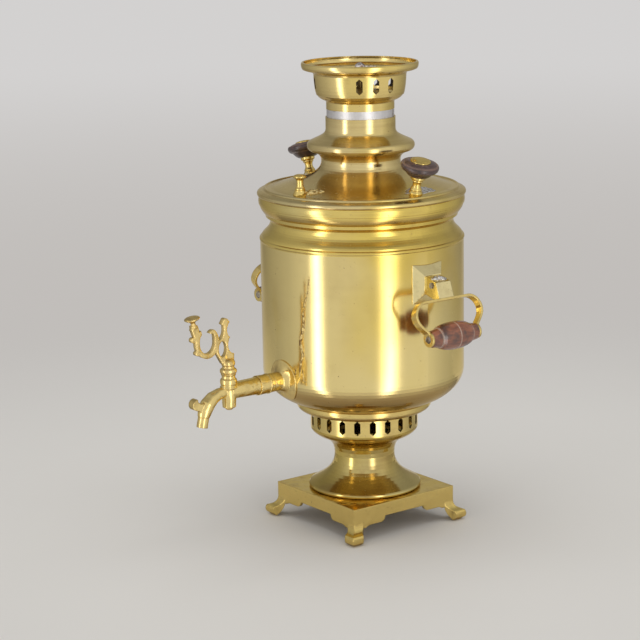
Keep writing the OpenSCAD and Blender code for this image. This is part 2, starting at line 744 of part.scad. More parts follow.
module handle_strap(side) {
    eye_r = 7.4;
    path = bow_path();
    half = band([for (p = path) p], bow_t);
    shift = -bow_t / 2;
    color(golden_brass) in_bow(side) difference() {
        union() {
            for (flip = [0, 1]) mirror([flip, 0, 0]) {
                translate([0, 0, -bow_w / 2]) linear_extrude(bow_w)
                    polygon(band(beside(path, shift), bow_t));
                translate([grip_l / 2, -bow_drop, 0]) rotate([0, 90, 0]) cylinder(r = eye_r, h = bow_t);
            }
        }
        translate([0, -bow_drop, 0]) rotate([0, 90, 0])
            cylinder(r = rod_d / 2 + 0.05, h = grip_l + 40, center = true);
    }
}

function grip_path() =
    let (l = grip_l / 2, mid_r = grip_d / 2, end_r = grip_end_d / 2, ring = 19)
    concat(
        [[rod_d / 2 + 0.1, -l], [end_r - 0.8, -l], [end_r, -l + 0.8]],
        tail(bez([end_r, -l + 0.8], [end_r + 0.2, -l + 3], [end_r + 0.8, -ring - 4], [end_r + 1.4, -ring - 1], 4)),
        [[end_r + 1, -ring - 0.5], [end_r + 2.2, -ring]],
        tail(bez([end_r + 2.2, -ring], [mid_r - 0.6, -ring + 5], [mid_r, -6], [mid_r, -0.6], 6)),
        [[mid_r - 0.5, 0]],
        tail(bez([mid_r, 0.6], [mid_r, 6], [mid_r - 0.6, ring - 5], [end_r + 2.2, ring], 6)),
        [[end_r + 1, ring + 0.5], [end_r + 1.4, ring + 1]],
        tail(bez([end_r + 1.4, ring + 1], [end_r + 0.8, ring + 4], [end_r + 0.2, l - 3], [end_r, l - 0.8], 4)),
        [[end_r - 0.8, l], [rod_d / 2 + 0.1, l]]);

module handle_grip(side) {
    color(red_wood) in_bow(side) translate([0, -bow_drop, 0]) rotate([0, 90, 0])
        rotate_extrude() polygon(grip_path());
}

module handle_rod(side) {
    head_r = 3.8;
    head_h = 1.2;
    color(iron) in_bow(side) translate([0, -bow_drop, 0]) rotate([0, 90, 0]) {
        cylinder(r = rod_d / 2, h = grip_l + 2 * bow_t, center = true);
        for (flip = [0, 1]) mirror([0, 0, flip]) translate([0, 0, grip_l / 2 + bow_t])
            cylinder(r1 = head_r, r2 = head_r - 1.2, h = head_h);
    }
}

// ---- tap ------------------------------------------------------------------

// Puts children on the tap tube's axis, z pointing away from the tank
module along_tap(y) {
    translate([0, -y, tap_z]) rotate([90, 0, 0]) children();
}

flange_l = 9;
ferrule_at = tank_r + flange_l + 6;
ferrule_l = 17;

// Solid of revolution that the tank fills, grown by a margin
module tank_filled(margin) {
    rotate_extrude($fn = 360) polygon(concat([[0, tank_z - margin]], beside(tank_path(), -margin), [[0, rim_z]]));
}

// The rosette: its thin edge follows the tank, and its bell leans down with the tank's round foot
module tap_flange() {
    r = flange_d / 2;
    neck_r = tube_d / 2;
    bell_r = r - 3.2;
    bell_lean = 11;
    edge_t = 1.3;
    bell = concat([[0, -3], [bell_r, -3], [bell_r, 0.2]],
        tail(bez([bell_r, 0.2], [bell_r - 4.4, 2], [neck_r + 0.8, 4.4], [neck_r - 1.2, 10.4], 8)),
        [[0, 10.4]]);
    color(golden_brass) difference() {
        union() {
            along_tap(tank_r - 4) cylinder(r = neck_r, h = flange_l + 10);
            translate([0, 2.2 - tank_r, tap_z]) rotate([90 + bell_lean, 0, 0]) rotate_extrude() polygon(bell);
            intersection() {
                along_tap(tank_r - 24) cylinder(r = r, h = 30);
                tank_filled(edge_t);
            }
        }
        tank_filled(0.05);
        along_tap(0) cylinder(r = neck_r - 1.8, h = tank_r + 40);
    }
}

module tap_sleeve() {
    color(golden_brass) along_tap(ferrule_at) difference() {
        union() {
            cylinder(r1 = ferrule_d / 2 - 0.4, r2 = ferrule_d / 2, h = ferrule_l);
            translate([0, 0, 4.2]) cylinder(r = ferrule_d / 2 + 0.25, h = 1);
        }
        translate([0, 0, -1]) cylinder(r = tube_d / 2 - 1.8, h = 4);
        translate([0, 0, 2.5]) cylinder(r = tube_d / 2 - 0.3, h = ferrule_l);
    }
}

barrel_top_z = tap_z + 16.5;
barrel_low_z = tap_z - 16.2;
plug_taper = 0.045;
function plug_r(z) = plug_d / 2 - (barrel_top_z - z) * plug_taper;

// A short round section of the spout: distance past the barrel, height, lean, radius
module spout_ring(s) {
    translate([0, -barrel_at - s[0], tap_z + s[1]]) rotate([90 + s[2], 0, 0])
        cylinder(r = s[3], h = 0.4, center = true, $fn = 32);
}

spout = [[4, 0, 0, 5.4], [12, -0.8, 12, 5.8], [19.6, -3.8, 32, 6.7], [25.6, -9, 55, 7.5],
    [29.2, -15.5, 72, 7.1], [30.84, -20.7, 90 - nozzle_lean, 6.1]];
nozzle_top = [30.9, -21];
nozzle_relief = 0.6;

module tap_body() {
    color(golden_brass) difference() {
        union() {
            // tube from the ferrule to the barrel
            along_tap(ferrule_at + 2.5) cylinder(r1 = tube_d / 2 - 0.35, r2 = tube_tip_d / 2,
                h = barrel_at - ferrule_at - 2.5);
            // upright barrel with its mouldings
            translate([0, -barrel_at, 0]) rotate_extrude() polygon(barrel_outline());
            for (i = [0:len(spout) - 2]) hull() {
                spout_ring(spout[i]);
                spout_ring(spout[i + 1]);
            }
            at_nozzle() {
                translate([0, 0, -1.5]) cylinder(r = nozzle_d / 2 - 0.3, h = nozzle_relief + 1.5);
                translate([0, 0, nozzle_relief]) cylinder(r = nozzle_d / 2, h = nozzle_l - nozzle_relief);
            }
            spout_curl();
        }
        along_tap(tank_r) cylinder(r = water_d / 2, h = barrel_at - tank_r);
        translate([0, -barrel_at, barrel_low_z - 1])
            cylinder(r1 = plug_r(barrel_low_z - 1) + plug_fit, r2 = plug_r(barrel_top_z + 1) + plug_fit,
                h = barrel_top_z - barrel_low_z + 2);
        // water way through the spout, in three straight drillings
        drilling([0, 0], [20.4, -4.4]);
        drilling([18.8, -3.6], [27.6, -11.6]);
        drilling([26.4, -10], nozzle_top + [1.6, -5]);
        at_nozzle() translate([0, 0, -8]) cylinder(r = water_d / 2, h = nozzle_l + 9);
    }
}

function barrel_outline() =
    let (r = barrel_d / 2, low_r = r - 0.9)
    concat([[1, barrel_low_z], [low_r - 0.6, barrel_low_z], [low_r, barrel_low_z + 0.8],
        [r, tap_z + 2.6], [r + 0.6, tap_z + 3.2]],
        tail(arc([r, tap_z + 4.4], 1.1, -60, 60, 4)),
        [[r + 0.2, tap_z + 5.8], [r + 0.2, tap_z + 7]],
        tail(bez([r + 0.2, tap_z + 7], [r + 1.1, tap_z + 7.2], [r + 1.1, tap_z + 12.6],
            [r, tap_z + 13], 6)),
        [[r - 0.9, tap_z + 13.6], [r - 0.9, barrel_top_z], [1, barrel_top_z]]);

module at_nozzle() {
    translate([0, -barrel_at - nozzle_top[0], tap_z + nozzle_top[1]])
        rotate([180 - nozzle_lean, 0, 0]) children();
}

module drilling(a, b) {
    run = b - a;
    translate([0, -barrel_at - a[0], tap_z + a[1]])
        rotate([90 + atan2(-run[1], run[0]), 0, 0]) cylinder(r = water_d / 2, h = norm(run));
}

// The leaf scroll on the front of the spout
module spout_curl() {
    curl_w = 8.4;
    outer_r = 5.7;
    translate([curl_w / 2, -barrel_at - 39.6, tap_z - 7]) rotate([90, 0, -90]) linear_extrude(curl_w)
        difference() {
            union() {
                circle(outer_r, $fn = 40);
                polygon([[-1, -outer_r], [-9.5, -12.5], [-12.5, -7], [-4.6, 2]]);
            }
            translate([-5.2, 5.4]) circle(5.2, $fn = 32);
        }
}

// Side view of the key's handle: o is the distance out from the plug's axis, v the height
// above the foot of the handle
module key_outline() {
    loop = [25.2, 24];
    translate([0, key_neck_z]) difference() {
        union() {
            polygon(key_stem());
            polygon(key_arm());
            translate(loop) scale([13.6, 15.7]) circle(1, $fn = 64);
            for (nub = [[36.9, 15.2, 2.5], [41.4, 29, 2.6], [41.1, 39.2, 2]])
                translate([nub[0], nub[1]]) circle(nub[2], $fn = 24);
        }
        // U-shaped inside of the crescent, open at the top
        polygon(key_mouth());
        // the crescent's tip is rounded off above
        polygon(concat([[22.9, 33.4]], [for (p = arc([18.4, 31.6], 4.7, 25, 112, 8)) p], [[12, 44], [34.5, 44]]));
        // eye in the stem
        translate([7.6, 15.2]) scale([4.7, 8]) circle(1, $fn = 48);
    }
}

// Stem with its hook, thorn and bird-like finial
function key_stem() = concat(
    [[-5.4, 0], [-5.8, 9.1], [-2.7, 10.2]],
    tail(bez([-2.7, 10.2], [1, 13], [1.2, 17], [0.9, 20.4], 5)),
    [[0, 23.8], [-1.4, 26.3], [0.2, 27.6]],
    tail(bez([0.2, 27.6], [2, 31], [3, 34], [0.3, 39.5], 5)),
    [[-1.4, 41.6], [-0.2, 42.8]],
    tail(bez([-0.2, 42.8], [1, 46], [4, 46.2], [5.4, 45], 4)),
    tail(bez([5.4, 45], [6.6, 43.6], [7.2, 41.4], [8.3, 40.6], 3)),
    [[7.6, 39.6], [5.6, 38.6]],
    tail(bez([5.6, 38.6], [5, 34], [4.8, 30], [8.8, 26], 6)),
    [[12.6, 24], [15, 12]],
    tail(bez([15, 12], [12.6, 8.6], [10.6, 4], [8, 0], 4)));

// Arm that carries the button
function key_arm() = concat(
    [[29, 9.5], [35, 12.6], [37.4, 18.7]],
    tail(bez([37.4, 18.7], [38.4, 22], [39.4, 27], [40.4, 32.2], 4)),
    tail(bez([40.4, 32.2], [41.4, 35], [42.8, 37], [42.9, 43.4], 4)),
    [[36.3, 43.4], [35.2, 40.4], [34.9, 36.7], [33.8, 34.4], [31.6, 33.2], [33.6, 30.4], [34.4, 20], [30, 12]]);

function key_mouth() = concat(
    [for (p = arc([0, 0], 1, 180, 360, 20)) [25.4 + 8.9 * p[0], 24 + 10.8 * p[1]]],
    [[34.3, 27.6], [33.6, 30.4], [31.6, 33.2], [33.6, 44], [22.9, 44], [22.9, 33.5], [20.4, 32.5], [18, 32.4]],
    tail(bez([18, 32.4], [16.8, 31], [16.5, 28], [16.5, 24], 4)));

key_neck_z = barrel_top_z + 12.5;

module tap_key() {
    z0 = barrel_low_z - 2.4;
    collar = barrel_top_z + 0.3;
    port_r = water_d / 2;
    plug = concat([[0, z0], [plug_r(z0) - 1, z0], [plug_r(z0), z0 + 1], [plug_r(collar), collar],
        [7.4, collar], [7.6, collar + 1.8]],
        tail(bez([7.6, collar + 1.8], [8.9, collar + 2.6], [8.9, collar + 5.6], [7.4, collar + 6.4], 5)),
        [[6.2, collar + 7.2], [6, key_neck_z - 3], [6.8, key_neck_z - 2], [7, key_neck_z + 0.8],
        [6.2, key_neck_z + 2.6], [4.6, key_neck_z + 4.4], [0, key_neck_z + 5]]);
    color(golden_brass) translate([0, -barrel_at, 0]) {
        difference() {
            rotate_extrude() polygon(plug);
            translate([0, 0, tap_z]) rotate([0, 90, 0]) cylinder(r = port_r, h = 30, center = true);
        }
        translate([key_t / 2, 0, 0]) rotate([90, 0, -90]) linear_extrude(key_t) key_outline();
        // the button leans outwards with its arm
        translate([0, -key_button_at, key_neck_z + 43]) rotate([key_button_lean, 0, 0])
            rotate_extrude() polygon(key_button_outline());
    }
}
key_button_at = 39.5;
key_button_lean = 12;

function key_button_outline() =
    let (r = key_button_d / 2)
    concat([[0, -2.4], [3.3, -2.4], [3.4, -0.4], [2.5, 0.8], [2.4, 3]],
        tail(bez([2.4, 3], [3, 5.2], [r - 1.2, 5.4], [r, 7.2], 5)),
        tail(bez([r, 7.2], [r + 0.1, 8.4], [r - 2.4, 9], [2, 9.4], 5)),
        [[0, 9.4]]);

// ---- assembly -------------------------------------------------------------

plinth();
pedestal();
draught_collar();
ash_dish();
tank();
rim_ring();
fire_tube();
grate();
lid();
vent_seat();
vent_cap();
knob_stem(left);  // knob_stem_left
knob_stem(right);  // knob_stem_right
knob_wood(left);  // knob_wood_left
knob_wood(right);  // knob_wood_right
knob_button(left);  // knob_button_left
knob_button(right);  // knob_button_right
crown();
chimney_cap();
cap_ball();
cap_wire();
bracket_plate(left);  // bracket_plate_left
bracket_plate(right);  // bracket_plate_right
bracket_arm(left);  // bracket_arm_left
bracket_arm(right);  // bracket_arm_right
bracket_rivet(left);  // bracket_rivet_left
bracket_rivet(right);  // bracket_rivet_right
handle_strap(left);  // handle_strap_left
handle_strap(right);  // handle_strap_right
handle_grip(left);  // handle_grip_left
handle_grip(right);  // handle_grip_right
handle_rod(left);  // handle_rod_left
handle_rod(right);  // handle_rod_right
tap_flange();
tap_sleeve();
tap_body();
tap_key();
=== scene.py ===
"""Looks of a charcoal samovar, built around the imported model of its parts."""

import math

import bmesh
import bpy
from mathutils import Matrix, Vector, noise


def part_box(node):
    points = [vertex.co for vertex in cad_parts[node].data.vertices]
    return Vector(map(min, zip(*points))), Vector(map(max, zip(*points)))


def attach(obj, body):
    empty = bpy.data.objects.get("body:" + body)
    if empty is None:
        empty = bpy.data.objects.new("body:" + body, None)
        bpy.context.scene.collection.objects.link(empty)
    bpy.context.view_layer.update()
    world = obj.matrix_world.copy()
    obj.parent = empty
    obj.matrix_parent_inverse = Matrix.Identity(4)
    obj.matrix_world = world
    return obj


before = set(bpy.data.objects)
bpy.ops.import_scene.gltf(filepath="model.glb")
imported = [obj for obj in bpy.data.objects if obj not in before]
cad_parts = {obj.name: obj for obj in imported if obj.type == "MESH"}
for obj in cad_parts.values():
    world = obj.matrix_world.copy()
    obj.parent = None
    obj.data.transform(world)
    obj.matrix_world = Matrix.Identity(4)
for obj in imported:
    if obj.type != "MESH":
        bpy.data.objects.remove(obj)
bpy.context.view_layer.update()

MM = 0.001

CAMERA_AZIMUTH = math.radians(51.8)
CAMERA_DISTANCE = 2.0967
CAMERA_HEIGHT = 0.6827
CAMERA_LENS = 117.13
CAMERA_PITCH = math.radians(12.64)
CAMERA_ROLL = math.radians(-0.973)
CAMERA_YAW = math.radians(-1.21)

# Level directions in the photograph: to its right, and towards its camera
TO_RIGHT = Vector((math.cos(CAMERA_AZIMUTH), math.sin(CAMERA_AZIMUTH), 0))
TO_VIEWER = Vector((math.sin(CAMERA_AZIMUTH), -math.cos(CAMERA_AZIMUTH), 0))
UP = Vector((0, 0, 1))


def place_camera():
    """The photograph's view: a long lens that looks slightly down."""
    camera_data = bpy.data.cameras.new("view")
    camera_data.sensor_width = 36
    camera_data.lens = CAMERA_LENS
    camera_data.clip_start = 0.05
    camera_data.clip_end = 30
    camera = bpy.data.objects.new("view", camera_data)
    bpy.context.scene.collection.objects.link(camera)

    away = -TO_VIEWER
    level = math.sin(CAMERA_YAW) * TO_RIGHT + math.cos(CAMERA_YAW) * away
    right = math.cos(CAMERA_YAW) * TO_RIGHT - math.sin(CAMERA_YAW) * away
    ahead = math.cos(CAMERA_PITCH) * level - math.sin(CAMERA_PITCH) * UP
    above = math.sin(CAMERA_PITCH) * level + math.cos(CAMERA_PITCH) * UP
    screen_x = math.cos(CAMERA_ROLL) * right + math.sin(CAMERA_ROLL) * above
    screen_y = -math.sin(CAMERA_ROLL) * right + math.cos(CAMERA_ROLL) * above
    place = CAMERA_DISTANCE * TO_VIEWER + CAMERA_HEIGHT * UP
    turn = Matrix((screen_x, screen_y, -ahead)).transposed().to_4x4()
    camera.matrix_world = Matrix.Translation(place) @ turn
    bpy.context.scene.camera = camera


# ---- shader values --------------------------------------------------------


class Value:
    """One number or colour inside a material. Sums and products add nodes."""

    def __init__(self, sheet, socket):
        self.sheet = sheet
        self.socket = socket

    def __add__(self, other):
        return self.sheet.maths("ADD", self, other)

    def __radd__(self, other):
        return self.sheet.maths("ADD", other, self)

    def __sub__(self, other):
        return self.sheet.maths("SUBTRACT", self, other)

    def __rsub__(self, other):
        return self.sheet.maths("SUBTRACT", other, self)

    def __mul__(self, other):
        return self.sheet.maths("MULTIPLY", self, other)

    def __rmul__(self, other):
        return self.sheet.maths("MULTIPLY", other, self)

    def __truediv__(self, other):
        return self.sheet.maths("DIVIDE", self, other)

    def __abs__(self):
        return self.sheet.maths("ABSOLUTE", self)

    def __pow__(self, other):
        return self.sheet.maths("POWER", self, other)

    def __lt__(self, other):
        return self.sheet.maths("LESS_THAN", self, other)

    def larger(self, other):
        return self.sheet.maths("MAXIMUM", self, other)

    def between(self, low, high):
        """0 at low, 1 at high, smooth in between."""
        return self.sheet.node(
            "ShaderNodeMapRange",
            {"interpolation_type": "SMOOTHSTEP"},
            {"Value": self, "From Min": low, "From Max": high},
        )

    def hump(self, middle, spread):
        """1 at the middle, falling off like a bell."""
        off = (self - middle) / spread
        return self.sheet.maths("EXPONENT", off * off * -0.5)


class Sheet:
    """The node sheet of one material, lamp or world."""

    def __init__(self, tree):
        self.tree = tree
        self.tree.nodes.clear()

    def node(self, kind, settings=None, inputs=None, output=0):
        made = self.tree.nodes.new(kind)
        for key, value in (settings or {}).items():
            if key == "stops":
                self._set_stops(made.color_ramp, value)
            else:
                setattr(made, key, value)
        for key, value in (inputs or {}).items():
            if isinstance(value, Value):
                self.tree.links.new(value.socket, made.inputs[key])
            else:
                made.inputs[key].default_value = value
        return Value(self, made.outputs[output]) if len(made.outputs) else None

    @staticmethod
    def _set_stops(ramp, stops):
        while len(ramp.elements) < len(stops):
            ramp.elements.new(0.5)
        for element, (place, colour) in zip(ramp.elements, stops):
            element.position = place
            element.color = _rgba(colour)

    def maths(self, operation, first, second=0.0):
        return self.node("ShaderNodeMath", {"operation": operation}, {0: first, 1: second})

    def place(self):
        """The point on the piece, in metres."""
        return self.node("ShaderNodeTexCoord", output="Object")

    def part_of(self, vector, letter):
        return self.node("ShaderNodeSeparateXYZ", None, {"Vector": vector}, output=letter)

    def axis(self, letter):
        return self.part_of(self.place(), letter)

    def facing(self, letter):
        """How far the surface faces along X, Y or Z."""
        return self.part_of(self.node("ShaderNodeTexCoord", output="Normal"), letter)

    def inner_side(self):
        """1 on faces that look towards the samovar's own axis."""
        outwards = self.facing("X") * self.axis("X") + self.facing("Y") * self.axis("Y")
        return outwards < -4 * MM

    def grain(self, scale, detail=3.0, roughness=0.55, stretch=(1, 1, 1), shift=(0, 0, 0)):
        """Cloudy noise, about 0.5 in the middle."""
        where = self.node(
            "ShaderNodeMapping", None, {"Vector": self.place(), "Scale": stretch, "Location": shift}
        )
        return self.node(
            "ShaderNodeTexNoise",
            None,
            {"Vector": where, "Scale": scale, "Detail": detail, "Roughness": roughness},
        )

    def blend(self, amount, low, high):
        """Colour low where amount is 0 and high where it is 1."""
        return self.node(
            "ShaderNodeMix",
            {"data_type": "RGBA", "clamp_factor": True},
            {"Factor": amount, 6: _rgba(low), 7: _rgba(high)},
            output=2,
        )

    def bump(self, height, strength, distance, over=None):
        inputs = {"Height": height, "Strength": strength, "Distance": distance}
        if over is not None:
            inputs["Normal"] = over
        return self.node("ShaderNodeBump", None, inputs)

    def shader(self, inputs):
        return self.node("ShaderNodeBsdfPrincipled", None, inputs)


def _rgba(colour):
    if isinstance(colour, Value) or len(colour) == 4:
        return colour
    return (*colour, 1)


def finish_material(name, surface):
    """A material whose surface is what surface(sheet) returns: a shader, or a shader's inputs."""
    material = bpy.data.materials.new(name)
    material.use_nodes = True
    sheet = Sheet(material.node_tree)
    made = surface(sheet)
    shader = made if isinstance(made, Value) else sheet.shader(made)
    sheet.node("ShaderNodeOutputMaterial", None, {"Surface": shader})
    return material


# ---- finishes -------------------------------------------------------------

LEMON_STAIN = (0.82, 0.60, 0.10)
OLIVE_STAIN = (0.72, 0.64, 0.34)
# Brown tarnish, also used as painted shade on faces that look down or stand upright
TARNISH_AND_SHADE = (0.37, 0.23, 0.085)
# Dark tarnish in specks and pits, also used as painted shade in bands at given levels
DEEP_TARNISH_AND_SHADE = (0.10, 0.055, 0.022)
SOOT = (0.030, 0.024, 0.020)
TIN = (0.50, 0.485, 0.46)
TIN_SMUDGE = (0.22, 0.16, 0.10)
RUST = (0.10, 0.055, 0.03)
# Brass seen edge on
EDGE_TINT = (1.0, 0.93, 0.74, 1.0)


def spun_brass(name, tint, rough=0.22, clouding=0.35, lathe=0.5, smear=0.6, shade_below=0.35,
               inside=None, inside_top=1.0, toning=0.5, shaded_levels=()):
    """Lathe-polished sheet brass.

    Fine level turning marks smear highlights up and down. Faces that look down are darkened
    towards brown as painted shade, and so are bands at the levels given as (height, width), also
    painted shade. The inner side may be tinned, or sooty up to the height inside_top.
    """

    def inputs(sheet):
        height = sheet.axis("Z")
        cloud = sheet.grain(9, 4, 0.6)
        level = sheet.grain(14, 3, 0.6, stretch=(0.35, 0.35, 14))
        fine = sheet.grain(60, 2, 0.5, stretch=(0.5, 0.5, 40))
        blotch = sheet.grain(34, 4, 0.62, stretch=(1, 1, 0.7), shift=(3, 1, 2))
        speck = sheet.grain(420, 2, 0.5).between(0.68, 0.76)
        stain = (cloud * (1 - 0.5 * lathe) + level * (0.5 * lathe)).between(0.44, 0.70) * clouding
        # painted shade: faces that look down darken towards brown
        down = sheet.facing("Z").between(0.0, -0.55) * shade_below
        tone = sheet.grain(7, 3, 0.5, stretch=(1, 1, 0.55), shift=(5, 2, 1))
        colour = sheet.blend(tone.between(0.52, 0.68) * toning, tint, LEMON_STAIN)
        colour = sheet.blend(tone.between(0.46, 0.32) * toning, colour, OLIVE_STAIN)
        # real tarnish clouds, joined with the painted shade on faces that look down
        colour = sheet.blend(stain.larger(down), colour, TARNISH_AND_SHADE)
        colour = sheet.blend(blotch.between(0.60, 0.74) * clouding * 0.6, colour, TARNISH_AND_SHADE)
        colour = sheet.blend(speck * 0.35, colour, DEEP_TARNISH_AND_SHADE)
        # painted shade: a dark brown band at each given level
        for middle, width in shaded_levels:
            band_shade = height.hump(middle, width) * (0.45 + cloud * 0.6)
            colour = sheet.blend(band_shade, colour, DEEP_TARNISH_AND_SHADE)
        roughness = rough + (cloud - 0.5) * 0.12 + (level - 0.5) * 0.10 * lathe + speck * 0.2
        metallic = 1.0
        if inside is not None:
            inner = sheet.inner_side() * (height < inside_top) * (sheet.facing("Z") < 0.2)
            colour = sheet.blend(inner, colour, inside)
            roughness = roughness + inner * (0.75 if inside is SOOT else 0.25)
            if inside is SOOT:
                metallic = 1.0 - inner
        normal = sheet.bump(fine, 0.05 * lathe, 0.001)
        normal = sheet.bump(sheet.grain(19, 2, 0.4), 0.2, 0.0018, normal)
        return {
            "Base Color": colour,
            "Metallic": metallic,
            "Roughness": roughness,
            "Specular Tint": EDGE_TINT,
            "Anisotropic": smear,
            "Anisotropic Rotation": 0.25,
            "Normal": normal,
        }

    return finish_material(name, inputs)


def cast_brass(name, tint, rough=0.27, pit=0.5, clouding=0.55, shade_below=0.35, sides=0.0,
               wavy=0.0, worn=0.8):
    """Filed and polished castings: golden, softly pitted, brown in the pits; faces that look down, and
    upright faces as far as sides asks, are browned as painted shade.

    The edges are worn round, to a radius of worn in millimetres.
    """

    def inputs(sheet):
        cloud = sheet.grain(55, 4, 0.6)
        pits = sheet.grain(380, 3, 0.6)
        rise = sheet.facing("Z")
        # painted shade: faces that look down darken towards brown
        down = rise.between(0.0, -0.8) * shade_below
        # painted shade: upright faces darken towards brown, as far as sides asks
        upright_shade = rise.between(0.75, 0.2) * sides
        # real tarnish clouds, joined with the painted shade below and on upright faces
        stain = (cloud.between(0.45, 0.75) * clouding).larger(down).larger(upright_shade)
        colour = sheet.blend(stain, tint, TARNISH_AND_SHADE)
        colour = sheet.blend(pits.between(0.62, 0.75) * 0.45, colour, DEEP_TARNISH_AND_SHADE)
        rounded = sheet.node("ShaderNodeBevel", {"samples": 6}, {"Radius": worn * MM})
        normal = sheet.bump(pits, 0.25 * pit, 0.0004, rounded)
        normal = sheet.bump(cloud, 0.3, 0.0008, normal)
        normal = sheet.bump(sheet.grain(85, 1, 0.4), wavy, 0.003, normal)
        return {
            "Base Color": colour,
            "Metallic": 1.0,
            "Specular Tint": EDGE_TINT,
            "Roughness": rough + (cloud - 0.5) * 0.2,
            "Normal": normal,
        }

    return finish_material(name, inputs)


def tinned(name, pale=(0.84, 0.82, 0.83), grey=(0.62, 0.60, 0.60), smudges=0.55):
    """Dull tin on the bare chimney, with brown smudges and a sooty bore."""

    def inputs(sheet):
        smudge = sheet.grain(48, 3, 0.6, stretch=(1, 1, 1.6)).between(0.54, 0.68)
        mottle = sheet.grain(160, 3, 0.6)
        inner = sheet.inner_side()
        colour = sheet.blend(mottle, grey, pale)
        colour = sheet.blend(smudge * smudges, colour, TIN_SMUDGE)
        colour = sheet.blend(inner, colour, SOOT)
        return {
            "Base Color": colour,
            "Metallic": (1.0 - inner) * 0.9,
            "Roughness": 0.34 + mottle * 0.15 + inner * 0.4,
            "Normal": sheet.bump(mottle, 0.2, 0.0006),
        }

    return finish_material(name, inputs)


def solder(name, pale, dull, rough=0.3):
    """Lumpy soft solder, bright on the bumps and brown in the hollows."""

    def inputs(sheet):
        lumps = sheet.grain(330, 3, 0.6)
        colour = sheet.blend(lumps.between(0.38, 0.62), dull, pale)
        return {
            "Base Color": colour,
            "Metallic": 1.0,
            "Roughness": rough + lumps * 0.15,
            "Normal": sheet.bump(lumps, 0.7, 0.0009),
        }

    return finish_material(name, inputs)


# A knob's foot (out, up), its lean, and the worn rings of its disc along the leaning stem
KNOB_FOOT = (86.0 * MM, 354.3 * MM)
KNOB_LEAN = math.radians(14.5)
KNOB_RINGS = (24.0 * MM, 31.2 * MM)
PLUM_DARK = (0.030, 0.013, 0.012)
PLUM_BROWN = (0.085, 0.036, 0.030)
PLUM_BLOOM = (0.14, 0.085, 0.078)
WORN_RING = (0.24, 0.14, 0.10)


def knob_wood(name):
    """Dark plum-brown varnished discs with a worn, greyish bloom."""

    def inputs(sheet):
        rings = sheet.grain(240, 5, 0.65, stretch=(1, 0.18, 1))
        bloom = sheet.grain(60, 4, 0.6)
        colour = sheet.blend(rings.between(0.35, 0.65), PLUM_DARK, PLUM_BROWN)
        colour = sheet.blend(bloom.between(0.5, 0.72) * 0.6, colour, PLUM_BLOOM)
        out = abs(sheet.axis("X")) - KNOB_FOOT[0]
        up = sheet.axis("Z") - KNOB_FOOT[1]
        along_stem = out * math.sin(KNOB_LEAN) + up * math.cos(KNOB_LEAN)
        for ring in KNOB_RINGS:
            colour = sheet.blend(along_stem.hump(ring, 0.35 * MM) * bloom, colour, WORN_RING)
        return {
            "Base Color": colour,
            "Roughness": 0.33 + bloom * 0.2,
            "Coat Weight": 0.6,
            "Coat Roughness": 0.22,
            "Coat IOR": 1.6,
            "Normal": sheet.bump(rings, 0.25, 0.0004),
        }

    return finish_material(name, inputs)


# Turned lines of a grip, along Y
GRIP_GROOVES = (-19.6 * MM, 0.4 * MM, 19.6 * MM)
RED_WOOD = (0.15, 0.036, 0.012)
ORANGE_WOOD = (0.31, 0.092, 0.032)
BLACK_WOOD = (0.045, 0.018, 0.013)
PALE_GROOVE = (0.52, 0.38, 0.30)


def grip_wood(name):
    """Red-brown varnished grips, nearly black in places, with three pale turned lines."""

    def inputs(sheet):
        along = sheet.axis("Y")
        rings = sheet.grain(240, 5, 0.65, stretch=(1, 0.18, 1))
        patch = sheet.grain(48, 3, 0.6, shift=(2, 0, 5))
        colour = sheet.blend(rings.between(0.35, 0.65), RED_WOOD, ORANGE_WOOD)
        colour = sheet.blend(patch.between(0.47, 0.62) * 0.85, colour, BLACK_WOOD)
        worn = sheet.grain(300, 2, 0.5)
        for groove in GRIP_GROOVES:
            line = along.hump(groove, 0.45 * MM) * (0.35 + worn)
            colour = sheet.blend(line, colour, PALE_GROOVE)
        return {
            "Base Color": colour,
            "Roughness": 0.32 + patch * 0.16,
            "Coat Weight": 1.0,
            "Coat Roughness": 0.12,
            "Coat IOR": 1.6,
            "Normal": sheet.bump(rings, 0.2, 0.0004),
        }

    return finish_material(name, inputs)


def iron(name, tint, rough=0.6):
    """Dull iron with patches of rust."""

    def inputs(sheet):
        rust = sheet.grain(90, 4, 0.65)
        return {
            "Base Color": sheet.blend(rust.between(0.45, 0.7), tint, RUST),
            "Metallic": 0.7,
            "Roughness": rough + rust * 0.2,
            "Normal": sheet.bump(rust, 0.4, 0.0008),
        }

    return finish_material(name, inputs)


# ---- studio ---------------------------------------------------------------

# Brightness of the walls by their turn to the right of the camera, in degrees
WALLS = (
    (-180, 0.40), (-150, 0.26), (-122, 0.38), (-92, 0.50), (-66, 0.70), (0, 0.74), (76, 0.74),
    (90, 0.60), (104, 0.50), (124, 0.42), (150, 0.30), (180, 0.40),
)
CEILING = 0.34
# Rise, in degrees, over which the walls give way to the ceiling
CEILING_RISE = (45, 75)
# Two tall soft lights: turn, half width and brightness
SOFT_LIGHTS = ((-52.5, 4.0, 3.1), (29.5, 5.8, 2.65))
# Rise, in degrees, over which those lights fade
LIGHT_RISE = (8, 38)
WARM_WHITE = (1.0, 0.985, 0.955)
BACKDROP = (0.650, 0.638, 0.632)
# painted shade: the backdrop is darker near the samovar, as a sweep is at its bend
BACKDROP_SHADED = (0.535, 0.513, 0.493)
BACKDROP_IN_METAL = (0.42, 0.41, 0.40)

FILL_SIZE = 1.6
FILL_HEIGHT = 1.6
FILL_POWER = 13.5

FLOOR_HALF = 14.0
FLOOR_DARK = (0.70, 0.69, 0.675)
FLOOR_PALE = (0.73, 0.72, 0.705)
# Distances from the axis, in metres: where the paint turns into the backdrop, where the
# backdrop's painted shade turns pale, and how far metal sees the floor to the front and to the side
PAINT_ENDS = (0.42, 1.2)
BACKDROP_PALES = (1.1, 5.0)
MIRRORED_ENDS = (0.17, 0.36)
MIRRORED_ASIDE_ENDS = (0.5, 1.0)
MIRRORED_FRONT = 0.3


